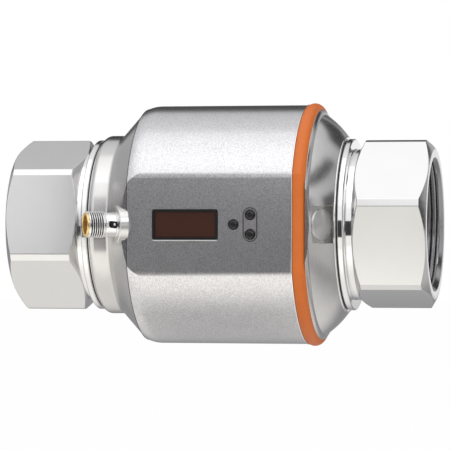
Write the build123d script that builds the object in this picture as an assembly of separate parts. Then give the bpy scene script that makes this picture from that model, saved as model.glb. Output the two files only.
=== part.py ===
from build123d import *
import os
from math import atan2, cos, radians, sin, sqrt, tan

# In-line magnetic flow meter for a 2-inch pipe, in millimetres.
# X runs along the flow, the display faces -Y and +Z is up.
# The model is drawn about the middle of the flow path and moved at the end,
# so that the origin lies on the flow axis where the inlet's full thread starts.
# Left is the inlet side and right the outlet side, as seen from the display.

# Flow path
bore_radius = 25.0
liner_wall = 3.0
tube_wall = 2.0
tube_collar_overlap = 6.6
flare_thickness = 1.4
flare_height = 5.5
face_seal_thickness = 1.5
face_seal_inset = 0.6

# Screwed adapters, turned from hexagon bar
hex_wall = 3.5
hex_sides = 6
hex_corner_rise = 4.5
hex_length = 33.6
hex_chamfer_angle = 30.0
hex_face_drop = 0.6
left_hex_turn = 7.6
right_hex_turn = -15.5
neck_wall = 3.1
neck_length = 3.0
collar_rise = 4.8
collar_width = 3.0
collar_edge = 0.6
pipe_thread_radius = 28.328
pipe_thread_length = 22.9
pipe_mouth_radius = 30.9
tube_thread_rise = 1.5
thread_clearance = 0.05
adapter_bore_step = 5.0

# Gaskets between the adapters and the caps
collar_gasket_thickness = 0.8
collar_gasket_inset = 0.7

# Housing
electronics_gap = 1.7
flat_drop = 4.7
drum_end = 39.4
shoulder_length = 6.2
shoulder_drop = 1.4
flat_blend = 6.0
sheet_wall = 2.0
drum_rim_chamfer = 0.5

# Left cap
left_cap_length = 20.4
left_neck_step = 2.0
left_neck_length = 9.2
left_neck_round = 2.8
cone_foot_round = 1.6
end_wall = 5.0
cap_bore_clearance = 0.2

# Seal ring and right cap
seal_width = 5.6
seal_crest = 0.8
cap_rim_drop = 2.0
cap_rim_width = 1.5
cap_rim_bulge = 0.25
cone_start_drop = 4.4
right_cap_length = 11.6
cone_end_step = 1.0
cone_bulge = 0.65
spigot_length = 12.0
spigot_clearance = 0.15

# O-rings in the caps' end walls
cap_o_ring_section = 1.8
cap_o_ring_gap = 0.1
cap_groove_width = 2.6

# Each cap has a port, and the port's axis leans away from the pipe by this angle
port_angle = 28.0

# Facet and plug of the right cap's blind port
facet_inset = 1.5
facet_length = 15.3
facet_half_width = 8.4
plug_station = 6.9
plug_radius = 7.1
plug_rim = 0.5
plug_dome = 0.5
plug_stem_radius = 4.0
plug_stem_clearance = 0.05
plug_pad_radius = 10.0
plug_pad_depth = 3.2

# Display window
window_x = -9.45
window_width = 30.1
window_height = 13.7
window_corner = 0.8
bezel_clearance = 0.1
bezel_bar = 1.1
bezel_proud = 0.2
bezel_flange = 2.0
bezel_flange_thickness = 1.2
lens_clearance = 0.05
lens_recess = 0.3
lens_thickness = 2.0
lens_ledge = 0.9

# Keys
key_radius = 2.25
key_clearance = 0.2
key_edge_proud = 0.35
key_dome = 0.55
key_flange_radius = 3.2
key_flange_thickness = 1.0
key_wall_gap = 0.2
key_stem_radius = 1.4
key_switch_gap = 0.6
single_key_x = 12.6
pair_key_x = 20.2
pair_key_spacing = 8.8
surround_length = 15.4
surround_width = 6.65
surround_line = 0.45
surround_proud = 0.1
surround_depth = 0.4

# Boards behind the flat
display_board_depth = 7.3
display_board_height = 28.0
main_board_height = 40.0
board_thickness = 1.6
board_gap = 2.9
board_left_gap = 3.2
board_right_gap = 8.4
standoff_inset = 3.0
standoff_spacing = 22.0
standoff_radius = 2.3
standoff_thread_depth = 4.0
board_screw_radius = 1.2
board_screw_clearance = 0.1
board_screw_head_radius = 2.2
board_screw_head = 1.4
module_width = 26.0
module_height = 10.6
module_gap = 0.1
digit_count = 4
digit_width = 4.6
digit_height = 8.0
digit_recess = 0.3
switch_size = 3.6
switch_height = 1.3
switch_button_radius = 1.0
switch_button_height = 0.5
link_width = 12.7
link_height = 2.5

# Plug socket in the left cap's port, placed from the seam between cap and drum
socket_seam_gap = 6.1
socket_seam_drop = 6.7
boss_radius = 8.6
boss_length = 4.2
boss_edge = 0.4
foot_radius = 6.2
foot_length = 2.2
foot_clearance = 0.05
passage_radius = 3.6
barrel_radius = 5.55
barrel_length = 5.4
socket_thread_radius = 6.0
socket_thread_length = 6.8
socket_shell_bore = 5.0
insert_clearance = 0.05
insert_lip_radius = 5.6
insert_lip_length = 2.0
insert_mouth_radius = 4.3
insert_mouth_depth = 7.5
pin_count = 4
pin_radius = 0.5
pin_clearance = 0.02
pin_circle_radius = 2.75
pin_start = 0.5
pin_recess = 1.0
key_pin_radius = 1.45
key_pin_station = 1.7
key_pin_inner = 4.0
key_pin_sink = 0.25
key_pin_dot_radius = 0.7
key_pin_dot_proud = 0.1
foot_tip_radius = 4.9
foot_tip_length = 1.1
foot_o_ring_section = 1.0

# Electrodes, across the pipe front to back
electrode_head_radius = 3.9
electrode_head_thickness = 1.7
electrode_head_sink = 0.2
electrode_pin_radius = 2.0
electrode_tail = 0.6
bush_radius = 4.0
bush_clearance = 0.05
bush_flange_radius = 6.5
bush_flange_thickness = 1.5
electrode_nut_flats = 8.0
electrode_nut_thickness = 3.0

# Coils above and below the pipe
shoe_clearance = 0.1
shoe_thickness = 2.5
shoe_length = 40.0
shoe_width = 39.0
core_radius = 6.0
bobbin_bore_clearance = 0.2
bobbin_seat_gap = 0.2
bobbin_wall = 1.2
bobbin_flange_radius = 17.0
bobbin_yoke_gap = 0.8
winding_clearance = 0.2
winding_inset = 1.0
yoke_drum_gap = 2.0
yoke_thickness = 2.0
yoke_width = 28.0
yoke_opening = 30.0
yoke_screw_radius = 2.0
yoke_screw_clearance = 0.1
yoke_screw_head_radius = 3.6
yoke_screw_head = 1.4
yoke_screw_length = 9.0
yoke_tap_depth = 9.0

# Stations along the pipe, from the seal ring outwards and back in along the bore
cap_start = drum_end + seal_width
cap_end = cap_start + right_cap_length
collar_inner_face = cap_end + collar_gasket_thickness
collar_outer_face = collar_inner_face + collar_width
hex_inner_end = collar_outer_face + neck_length
half_length = hex_inner_end + hex_length
pipe_thread_start = half_length - (pipe_mouth_radius - pipe_thread_radius)
pipe_thread_end = pipe_thread_start - pipe_thread_length
adapter_shoulder = pipe_thread_end - adapter_bore_step
flare_face = adapter_shoulder - face_seal_thickness
tube_end = flare_face - flare_thickness
cap_inner_face = cap_end - end_wall
tube_collar_start = cap_end - tube_collar_overlap
cone_start = cap_start + cap_rim_width
spigot_start = cap_start - spigot_length
left_neck_end = -cap_end + left_neck_length
drum_start = -cap_end + left_cap_length

# Radii of the pipe and what is turned round it
liner_radius = bore_radius + liner_wall
tube_radius = liner_radius + tube_wall
flare_radius = bore_radius + flare_height
tube_thread_radius = tube_radius + tube_thread_rise
neck_radius = tube_thread_radius + neck_wall
collar_radius = neck_radius + collar_rise
hex_across_flats = 2 * (tube_thread_radius + hex_wall)
hex_turned_radius = hex_across_flats / 2 + hex_corner_rise
hex_face_radius = hex_across_flats / 2 - hex_face_drop
left_neck_radius = collar_radius + left_neck_step

# Depths behind the front flat of the display, the keys and the boards
module_front = sheet_wall + bezel_flange_thickness + module_gap
switch_front = display_board_depth - switch_height
switch_button_front = switch_front - switch_button_height
key_flange_front = sheet_wall + key_wall_gap
key_flange_back = key_flange_front + key_flange_thickness
display_board_back = display_board_depth + board_thickness
main_board_depth = display_board_back + board_gap
main_board_back = main_board_depth + board_thickness

# The housing's flat clears the electrode's end behind the boards, and its round follows the flat
bush_seat = tube_radius + shoe_clearance
electrode_nut_seat = bush_seat + bush_flange_thickness
electrode_reach = electrode_nut_seat + electrode_nut_thickness + electrode_tail
flat_offset = electrode_reach + electronics_gap + main_board_back
drum_radius = flat_offset + flat_drop
cap_bore_radius = tube_thread_radius + cap_bore_clearance
seam_radius = drum_radius - shoulder_drop
cap_rim_radius = drum_radius - cap_rim_drop
cone_start_radius = drum_radius - cone_start_drop
cone_end_radius = collar_radius + cone_end_step
cone_slope = (cone_end_radius - cone_start_radius) / (cap_end - cone_start)
inner_drum_radius = drum_radius - sheet_wall
inner_flat = flat_offset - sheet_wall
spigot_radius = inner_drum_radius - spigot_clearance
spigot_flat = inner_flat - spigot_clearance

# Ports
plug_out = Vector(cos(radians(port_angle)), -sin(radians(port_angle)), 0)
facet_along = Vector(sin(radians(port_angle)), cos(radians(port_angle)), 0)
facet_start = Vector(cone_start + facet_inset, -cone_start_radius - cone_slope * facet_inset, 0)
socket_out = Vector(-cos(radians(port_angle)), -sin(radians(port_angle)), 0)
socket_side = Vector(sin(radians(port_angle)), -cos(radians(port_angle)), 0)
socket_face = Vector(drum_start - socket_seam_gap, socket_seam_drop - seam_radius, 0)
socket_thread_end = barrel_length + socket_thread_length
socket_mouth = socket_thread_end + insert_lip_length
pin_places = PolarLocations(pin_circle_radius, pin_count, start_angle=180 / pin_count)

# Places of keys, boards and standoffs on the flat
board_left = drum_start + board_left_gap
board_right = drum_end - board_right_gap
single_key = (single_key_x, 0)
upper_key = (pair_key_x, pair_key_spacing / 2)
lower_key = (pair_key_x, -pair_key_spacing / 2)
standoff_places = [
    (x, z)
    for x in (board_left + standoff_inset, board_right - standoff_inset)
    for z in (-standoff_spacing / 2, standoff_spacing / 2)
]

# Coils
shoe_top = tube_radius + shoe_clearance + shoe_thickness
yoke_outer_radius = inner_drum_radius - yoke_drum_gap
yoke_inner_radius = yoke_outer_radius - yoke_thickness
core_top = sqrt(yoke_inner_radius**2 - core_radius**2)
bobbin_base = shoe_top + bobbin_seat_gap
bobbin_top = sqrt(yoke_inner_radius**2 - bobbin_flange_radius**2) - bobbin_yoke_gap
bobbin_hub_radius = core_radius + bobbin_bore_clearance + bobbin_wall

# Larger than the whole part, for cutting tools
far = 4 * drum_radius


def disc(start, end, radius):
    """A cylinder along the flow axis."""
    return extrude(Plane.YZ.offset(start) * Circle(radius), end - start)


def ring(start, end, inner, outer):
    """A tube along the flow axis."""
    return extrude(Plane.YZ.offset(start) * (Circle(outer) - Circle(inner)), end - start)


def post(start, end, radius):
    """An upright cylinder on the vertical through the origin."""
    return extrude(Plane.XY.offset(start) * Circle(radius), end - start)


def turned(*edges):
    """A solid turned about the flow axis from a closed outline in X and radius."""
    return revolve(make_face(Wire(list(edges))), Axis.X)


def turned_polygon(*points):
    """A solid turned about the flow axis from a closed polygon in X and radius."""
    return revolve(make_face(Polyline(*points, close=True)), Axis.X)


def d_prism(start, end, radius, flat):
    """A prism along the flow axis, round apart from a flat at the front."""
    outline = Circle(radius) - Pos(-flat - far / 2, 0) * Rectangle(far, far)
    corners = outline.vertices().sort_by(Axis.X)[:2]
    return extrude(Plane.YZ.offset(start) * fillet(corners, flat_blend), end - start)


def front_block(sketch, depth, back_depth):
    """A sketch seen from the front, extruded between two depths behind the flat."""
    plane = Plane(origin=(0, depth - flat_offset, 0), x_dir=(1, 0, 0), z_dir=(0, -1, 0))
    return extrude(plane * sketch, depth - back_depth)


def front_disc(place, radius, depth, back_depth):
    """A cylinder square to the front flat."""
    return front_block(Pos(*place) * Circle(radius), depth, back_depth)


def socket_plane(station):
    """The plane square to the socket's axis at this distance outside its boss."""
    return Plane(origin=socket_face + socket_out * station, x_dir=(0, 0, 1), z_dir=socket_out)


def socket_disc(start, end, radius):
    """A cylinder on the socket's axis."""
    return extrude(socket_plane(start) * Circle(radius), end - start)


def facet_plane():
    """The blind port's facet, centred on its plug and facing out of the cap."""
    return Plane(origin=facet_start + facet_along * plug_station, x_dir=(0, 0, -1), z_dir=plug_out)


def both_ends(solid):
    """The right-hand solid and its twin on the left."""
    return solid, mirror(solid, Plane.YZ)


def above_and_below(solid):
    """The upper solid and its twin below the pipe."""
    return solid, mirror(solid, Plane.XY)


def front_and_back(solid):
    """The twin at the front and the solid behind the pipe."""
    return mirror(solid, Plane.XZ), solid


def group(solids):
    """Several separate solids kept in one node."""
    return Compound(children=list(solids))


def electrode_holes():
    """The hole for both electrodes, straight across the pipe."""
    return extrude(Plane.XZ * Circle(bush_radius + bush_clearance), far, both=True)


def measuring_tube():
    """Stainless tube with a threaded collar at each end."""
    tube = ring(-tube_end, tube_end, liner_radius, tube_radius)
    for collar in both_ends(ring(tube_collar_start, tube_end, liner_radius, tube_thread_radius)):
        tube += collar
    return tube - electrode_holes()


def tube_liner():
    """Insulating liner whose ends flare out over the tube's end faces."""
    liner = ring(-tube_end, tube_end, bore_radius, liner_radius)
    for flare in both_ends(ring(tube_end, flare_face, bore_radius, flare_radius)):
        liner += flare
    return liner - electrode_holes()


def face_seal():
    """Flat ring between the liner's right flare and the adapter's shoulder."""
    return ring(flare_face, adapter_shoulder, bore_radius + face_seal_inset, flare_radius)


def adapter(turn):
    """Right-hand adapter: chamfered hexagon, neck and collar in one turned piece."""
    chamfer_length = (hex_turned_radius - hex_face_radius) * tan(radians(hex_chamfer_angle))
    barrel = turned_polygon(
        (hex_inner_end, 0),
        (hex_inner_end, hex_face_radius),
        (hex_inner_end + chamfer_length, hex_turned_radius),
        (half_length - chamfer_length, hex_turned_radius),
        (half_length, hex_face_radius),
        (half_length, 0),
    )
    face_turn = 180 / hex_sides - turn
    flats = RegularPolygon(hex_across_flats / 2, hex_sides, major_radius=False, rotation=face_turn)
    body = barrel & extrude(Plane.YZ.offset(hex_inner_end) * flats, hex_length)
    body += disc(collar_outer_face, hex_inner_end, neck_radius)
    collar = disc(collar_inner_face, collar_outer_face, collar_radius)
    body += chamfer(collar.edges().filter_by(GeomType.CIRCLE), collar_edge)
    bore = turned_polygon(
        (collar_inner_face, 0),
        (collar_inner_face, tube_thread_radius + thread_clearance),
        (adapter_shoulder, tube_thread_radius + thread_clearance),
        (adapter_shoulder, bore_radius),
        (pipe_thread_end, bore_radius),
        (pipe_thread_end, pipe_thread_radius),
        (pipe_thread_start, pipe_thread_radius),
        (half_length, pipe_mouth_radius),
        (half_length, 0),
    )
    return body - bore


def collar_gasket():
    """Black ring in the gap between the right adapter's collar and the cap."""
    outer = collar_radius - collar_gasket_inset
    return ring(cap_end, collar_inner_face, cap_bore_radius, outer)


def drum_outline(wall):
    """The drum's side turned to a solid: rounded shoulder left, straight to the right."""
    seam = seam_radius - wall
    full = drum_radius - wall
    shoulder_end = drum_start + shoulder_length
    return turned(
        Line((drum_start, 0), (drum_start, seam)),
        TangentArc((shoulder_end, full), (drum_start, seam), tangent=(-1, 0)),
        Line((shoulder_end, full), (drum_end, full)),
        Line((drum_end, full), (drum_end, 0)),
        Line((drum_end, 0), (drum_start, 0)),
    )


def drum_shell():
    """Sheet housing with a front flat, the window opening and the key holes."""
    outer = drum_outline(0) & d_prism(drum_start, drum_end, drum_radius, flat_offset)
    rim = outer.faces().sort_by(Axis.X)[-1].edges()
    outer = chamfer(rim, drum_rim_chamfer)
    shell = outer - (drum_outline(sheet_wall) & d_prism(drum_start, drum_end, inner_drum_radius, inner_flat))
    window = Pos(window_x, 0) * RectangleRounded(window_width, window_height, window_corner)
    shell -= front_block(window, -sheet_wall, 2 * sheet_wall)
    for place in (single_key, upper_key, lower_key):
        shell -= front_disc(place, key_radius + key_clearance, -sheet_wall, 2 * sheet_wall)
    return shell - surround_line_block(sheet_wall)


def surround_line_block(proud):
    """Thin oblong line round the pair of keys, from its groove's floor to this height."""
    outline = SlotOverall(surround_length, surround_width, rotation=90)
    outline -= offset(outline, -surround_line)
    return front_block(Pos(pair_key_x, 0) * outline, -proud, surround_depth)


def left_end_cap():
    """Neck, cone and the boss that carries the plug socket."""
    outline = make_face(
        Polyline(
            (-cap_end, 0),
            (-cap_end, left_neck_radius),
            (left_neck_end, left_neck_radius),
            (drum_start, seam_radius),
            (drum_start, 0),
            close=True,
        )
    )
    neck_edge = outline.vertices().sort_by_distance((-cap_end, left_neck_radius))[0]
    outline = fillet(neck_edge, left_neck_round)
    cone_foot = outline.vertices().sort_by_distance((left_neck_end, left_neck_radius))[0]
    outer = revolve(fillet(cone_foot, cone_foot_round), Axis.X)
    outer &= d_prism(-cap_end, drum_start, drum_radius, flat_offset)
    boss = chamfer(socket_disc(-boss_length, 0, boss_radius).faces().sort_by(Axis.X)[0].edges(), boss_edge)
    drum_side = Pos(drum_start + far / 2, far / 2 - flat_offset, 0) * Box(far, far, far)
    cap = outer - left_cap_hollow() + (boss - drum_side)
    cap -= socket_disc(-foot_length, socket_mouth, foot_radius + foot_clearance)
    cap -= socket_disc(-2 * boss_length, 0, passage_radius)
    return cap - mirror(cap_bore(), Plane.YZ)


def left_cap_hollow():
    """The space inside the left cap."""
    cone_angle = atan2(seam_radius - left_neck_radius, drum_start - left_neck_end)
    neck = left_neck_radius - sheet_wall
    seam = seam_radius - sheet_wall / cos(cone_angle)
    hollow = turned_polygon(
        (-cap_inner_face, 0),
        (-cap_inner_face, neck),
        (drum_start - (seam - neck) / tan(cone_angle), neck),
        (drum_start, seam),
        (drum_start, 0),
    )
    return hollow & d_prism(-cap_inner_face, drum_start, inner_drum_radius, inner_flat)


def cap_bore():
    """Bore of the right cap's end wall with its O-ring groove."""
    middle = (cap_end + cap_inner_face) / 2
    groove_radius = tube_thread_radius + cap_o_ring_gap + cap_o_ring_section
    bore = disc(cap_inner_face - end_wall, cap_end + end_wall, cap_bore_radius)
    return bore + disc(middle - cap_groove_width / 2, middle + cap_groove_width / 2, groove_radius)


def cap_o_ring():
    """Round-section ring between the tube's collar and the right cap's groove."""
    section_radius = cap_o_ring_section / 2
    centre_radius = tube_thread_radius + cap_o_ring_gap / 2 + section_radius
    section = Pos((cap_end + cap_inner_face) / 2, centre_radius) * Circle(section_radius)
    return revolve(section, Axis.X)


def seal_profile(lift):
    """The seal's bulging outline in X and height, raised by this much."""
    crest = Vector(drum_end + seal_width / 2, drum_radius + seal_crest + lift)
    drum_edge = Vector(drum_end, drum_radius + lift)
    cap_edge = Vector(cap_start, cap_rim_radius + lift)
    return make_face(
        Wire(
            [
                Line((drum_end, 0), drum_edge),
                ThreePointArc(drum_edge, crest, cap_edge),
                Line(cap_edge, (cap_start, 0)),
                Line((cap_start, 0), (drum_end, 0)),
            ]
        )
    )


def seal_ring():
    """Soft ring between drum and right cap, bulging over its flat as over its round."""
    bar = mirror(seal_profile(flat_offset - drum_radius), Plane.XZ)
    bar += Pos(drum_end + seal_width / 2, far / 2) * Rectangle(seal_width, far)
    outer = revolve(seal_profile(0), Axis.X) & extrude(bar, far, both=True)
    return outer - d_prism(drum_end, cap_start, spigot_radius, spigot_flat)


def right_end_cap():
    """Rim, convex cone with the blind port's facet, and the spigot inside the drum."""
    outer = turned(
        Line((cap_start, 0), (cap_start, cap_rim_radius)),
        SagittaArc((cap_start, cap_rim_radius), (cone_start, cone_start_radius), cap_rim_bulge),
        SagittaArc((cone_start, cone_start_radius), (cap_end, cone_end_radius), cone_bulge),
        Line((cap_end, cone_end_radius), (cap_end, 0)),
        Line((cap_end, 0), (cap_start, 0)),
    )
    outer &= d_prism(cap_start, cap_end, drum_radius, flat_offset)
    pad = extrude(facet_plane() * Circle(plug_pad_radius), -plug_pad_depth)
    cap = outer - (right_cap_hollow() - pad)
    cap += d_prism(spigot_start, cap_start, spigot_radius, spigot_flat)
    cap -= d_prism(spigot_start, cap_start, spigot_radius - sheet_wall, spigot_flat - sheet_wall)
    pocket = Rectangle(2 * facet_half_width, facet_length + cone_start)
    pocket_middle = facet_length - plug_station - (facet_length + cone_start) / 2
    cap -= extrude(facet_plane() * (Pos(0, pocket_middle) * pocket), drum_radius)
    cap -= extrude(facet_plane() * Circle(plug_stem_radius + plug_stem_clearance), -2 * plug_pad_depth)
    return cap - cap_bore()


def right_cap_hollow():
    """The space inside the right cap, next to its cone."""
    wall_height = sheet_wall * sqrt(1 + cone_slope**2)
    mouth = cone_start_radius + cone_slope * (cap_start - cone_start) - wall_height
    bottom = cone_start_radius + cone_slope * (cap_inner_face - cone_start) - wall_height
    hollow = turned_polygon(
        (cap_start, 0),
        (cap_start, mouth),
        (cap_inner_face, bottom),
        (cap_inner_face, 0),
    )
    return hollow & d_prism(cap_start, cap_inner_face, inner_drum_radius, inner_flat)


def cap_plug():
    """Polished plug with a low dome that closes the blind port."""
    height = plug_rim + plug_dome
    head = extrude(facet_plane() * Circle(plug_radius), height)
    head &= dome(facet_plane(), plug_radius, plug_dome, height)
    return head + extrude(facet_plane() * Circle(plug_stem_radius), -plug_pad_depth)


def dome(plane, radius, rise, top):
    """The ball whose cap rises by this much over this radius, with its top at this height."""
    ball_radius = (radius**2 + rise**2) / (2 * rise)
    return plane.offset(top - ball_radius).location * Sphere(ball_radius)


def display_bezel():
    """Black frame set into the window opening, with a flange behind the sheet."""
    frame = RectangleRounded(
        window_width - 2 * bezel_clearance, window_height - 2 * bezel_clearance, window_corner
    )
    flange = RectangleRounded(
        window_width + 2 * bezel_flange, window_height + 2 * bezel_flange, window_corner
    )
    flange_back = sheet_wall + bezel_flange_thickness
    bezel = front_block(Pos(window_x, 0) * frame, -bezel_proud, sheet_wall)
    bezel += front_block(Pos(window_x, 0) * flange, sheet_wall, flange_back)
    bezel -= front_block(lens_outline(lens_clearance), -2 * bezel_proud, lens_recess + lens_thickness)
    return bezel - front_block(lens_outline(-lens_ledge), -2 * bezel_proud, flange_back)


def lens_outline(growth):
    """The filter's outline, grown by this much all round."""
    border = bezel_clearance + bezel_bar + lens_clearance - growth
    return Pos(window_x, 0) * Rectangle(window_width - 2 * border, window_height - 2 * border)


def display_window():
    """Dark red filter."""
    return front_block(lens_outline(0), lens_recess, lens_recess + lens_thickness)


def display_module():
    """Digit block behind the filter, with one well for each digit."""
    block = Pos(window_x, 0) * Rectangle(module_width, module_height)
    module = front_block(block, module_front, display_board_depth)
    for place in GridLocations(module_width / digit_count, 0, digit_count, 1):
        well = Pos(window_x, 0) * place * Rectangle(digit_width, digit_height)
        module -= front_block(well, module_front, module_front + digit_recess)
    return module


def key(place):
    """Domed key with a flange that stops it behind the sheet and a stem for its switch."""
    top = key_edge_proud + key_dome
    plane = Plane(origin=(place[0], -flat_offset, place[1]), x_dir=(1, 0, 0), z_dir=(0, -1, 0))
    body = front_disc(place, key_radius, -top, key_flange_front) & dome(plane, key_radius, key_dome, top)
    body += front_disc(place, key_flange_radius, key_flange_front, key_flange_back)
    return body + front_disc(place, key_stem_radius, key_flange_back, switch_button_front - key_switch_gap)


def key_surround():
    """The oblong line round the pair of keys, just proud of the flat."""
    return surround_line_block(surround_proud)


def key_switches():
    """One small switch under each key."""
    switches = []
    for place in (single_key, upper_key, lower_key):
        body = Pos(*place) * Rectangle(switch_size, switch_size)
        button = front_disc(place, switch_button_radius, switch_button_front, switch_front)
        switches.append(front_block(body, switch_front, display_board_depth) + button)
    return group(switches)


def board(height, depth):
    """A circuit board with a hole at each standoff."""
    outline = Pos((board_left + board_right) / 2, 0) * Rectangle(board_right - board_left, height)
    for place in standoff_places:
        outline -= Pos(*place) * Circle(board_screw_radius + board_screw_clearance)
    return front_block(outline, depth, depth + board_thickness)


def board_standoffs():
    """Studs behind the flat, tapped for the board screws."""
    tap_start = display_board_depth - standoff_thread_depth
    studs = []
    for place in standoff_places:
        stud = front_disc(place, standoff_radius, sheet_wall, display_board_depth)
        tap = front_disc(place, board_screw_radius + thread_clearance, tap_start, display_board_depth)
        studs.append(stud - tap)
    return group(studs)


def board_spacers():
    """Sleeves between the two boards."""
    sleeve = Circle(standoff_radius) - Circle(board_screw_radius + board_screw_clearance)
    return group(
        front_block(Pos(*place) * sleeve, display_board_back, main_board_depth) for place in standoff_places
    )


def board_screws():
    """Screws from behind, through both boards into the studs."""
    tip = display_board_depth - standoff_thread_depth + board_screw_clearance
    head_back = main_board_back + board_screw_head
    screws = []
    for place in standoff_places:
        shank = front_disc(place, board_screw_radius, tip, main_board_back)
        screws.append(shank + front_disc(place, board_screw_head_radius, main_board_back, head_back))
    return group(screws)


def board_link():
    """Header that joins the two boards."""
    return front_block(Rectangle(link_width, link_height), display_board_back, main_board_depth)


def key_pin_disc(radius, inner, outer):
    """A cylinder square to the socket's axis on its outer side, between two radii."""
    origin = socket_face + socket_out * key_pin_station + socket_side * inner
    plane = Plane(origin=origin, x_dir=(0, 0, 1), z_dir=socket_side)
    return extrude(plane * Circle(radius), outer - inner)


def connector_shell():
    """Threaded stainless sleeve with a plain barrel and a foot in the boss."""
    tip_end = foot_tip_length - foot_length
    shell = socket_disc(-foot_length, tip_end, foot_tip_radius)
    shell += socket_disc(tip_end, 0, foot_radius)
    shell += socket_disc(0, barrel_length, barrel_radius)
    shell += socket_disc(barrel_length, socket_thread_end, socket_thread_radius)
    shell -= socket_disc(-foot_length, 0, passage_radius)
    shell -= socket_disc(0, socket_thread_end, socket_shell_bore)
    return shell - key_pin_disc(key_pin_radius + insert_clearance, key_pin_inner, 2 * barrel_radius)


def connector_insert():
    """Gold contact carrier with a round mouth that stands out of the shell."""
    insert = socket_disc(0, socket_thread_end, socket_shell_bore - insert_clearance)
    insert += socket_disc(socket_thread_end, socket_mouth, insert_lip_radius)
    insert -= socket_disc(socket_mouth - insert_mouth_depth, socket_mouth, insert_mouth_radius)
    for place in pin_places:
        insert -= extrude(socket_plane(0) * place * Circle(pin_radius + pin_clearance), socket_mouth)
    return insert - key_pin_disc(key_pin_radius + insert_clearance, key_pin_inner, barrel_radius)


def connector_pins():
    """Contact pins, from the insert's back to just inside its mouth."""
    length = socket_mouth - pin_recess - pin_start
    return group(
        extrude(socket_plane(pin_start) * place * Circle(pin_radius), length) for place in pin_places
    )


def connector_key_pin():
    """Round key between insert and shell, with a small dot standing out of it."""
    key_body = key_pin_disc(key_pin_radius, key_pin_inner, barrel_radius - key_pin_sink)
    return key_body + key_pin_disc(key_pin_dot_radius, key_pin_inner, barrel_radius + key_pin_dot_proud)


def connector_o_ring():
    """Round-section ring round the foot's tip, at the bottom of the boss."""
    section_radius = foot_o_ring_section / 2
    station = foot_tip_length / 2 - foot_length
    centre_radius = (foot_tip_radius + foot_radius + foot_clearance) / 2
    return socket_plane(station).location * Torus(centre_radius, section_radius)


def electrode():
    """Back electrode: head almost flush with the liner and a long pin."""
    start = bore_radius - electrode_head_sink
    head = extrude(Plane.XZ.offset(-start) * Circle(electrode_head_radius), -electrode_head_thickness)
    return head + extrude(Plane.XZ.offset(-start) * Circle(electrode_pin_radius), start - electrode_reach)


def bush():
    """Insulating bush of the back electrode."""
    start = bore_radius - electrode_head_sink + electrode_head_thickness
    sleeve = extrude(Plane.XZ.offset(-start) * Circle(bush_radius), start - bush_seat)
    sleeve += extrude(Plane.XZ.offset(-bush_seat) * Circle(bush_flange_radius), -bush_flange_thickness)
    return sleeve - extrude(Plane.XZ * Circle(electrode_pin_radius + bush_clearance), -far)


def electrode_nut():
    """Hexagon nut that pulls the back electrode's head against its bush."""
    outline = RegularPolygon(electrode_nut_flats / 2, hex_sides, major_radius=False)
    outline -= Circle(electrode_pin_radius + bush_clearance)
    return extrude(Plane.XZ.offset(-electrode_nut_seat) * outline, -electrode_nut_thickness)


def pole_shoe():
    """Upper saddle plate on the tube, with the coil's core."""
    saddle = ring(-shoe_length / 2, shoe_length / 2, tube_radius + shoe_clearance, shoe_top)
    saddle &= Pos(0, 0, far / 2) * Box(far, shoe_width, far)
    shoe = saddle + post(shoe_top - shoe_thickness / 2, core_top, core_radius)
    return shoe - post(core_top - yoke_tap_depth, core_top, yoke_screw_radius + thread_clearance)


def coil_bobbin():
    """Upper plastic spool on the core."""
    spool = post(bobbin_base, bobbin_base + bobbin_wall, bobbin_flange_radius)
    spool += post(bobbin_top - bobbin_wall, bobbin_top, bobbin_flange_radius)
    spool += post(bobbin_base, bobbin_top, bobbin_hub_radius)
    return spool - post(bobbin_base, bobbin_top, core_radius + bobbin_bore_clearance)


def coil_winding():
    """Upper copper winding in the spool."""
    start = bobbin_base + bobbin_wall + winding_clearance
    end = bobbin_top - bobbin_wall - winding_clearance
    coil = post(start, end, bobbin_flange_radius - winding_inset)
    return coil - post(start, end, bobbin_hub_radius + winding_clearance)


def return_yoke():
    """Steel band that closes the field round the back, open at the front for the boards."""
    yoke = ring(-yoke_width / 2, yoke_width / 2, yoke_inner_radius, yoke_outer_radius)
    yoke -= Pos(0, -yoke_opening - far / 2, 0) * Box(far, far, far)
    return yoke - post(-far, far, yoke_screw_radius + yoke_screw_clearance)


def yoke_screw():
    """Upper screw through the yoke into the core."""
    head = post(yoke_outer_radius, yoke_outer_radius + yoke_screw_head, yoke_screw_head_radius)
    return head + post(yoke_outer_radius - yoke_screw_length, yoke_outer_radius, yoke_screw_radius)


right_seal, left_seal = both_ends(face_seal())
right_gasket, left_gasket = both_ends(collar_gasket())
right_o_ring, left_o_ring = both_ends(cap_o_ring())
front_electrode, back_electrode = front_and_back(electrode())
upper_shoe, lower_shoe = above_and_below(pole_shoe())
upper_bobbin, lower_bobbin = above_and_below(coil_bobbin())
upper_winding, lower_winding = above_and_below(coil_winding())

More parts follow.
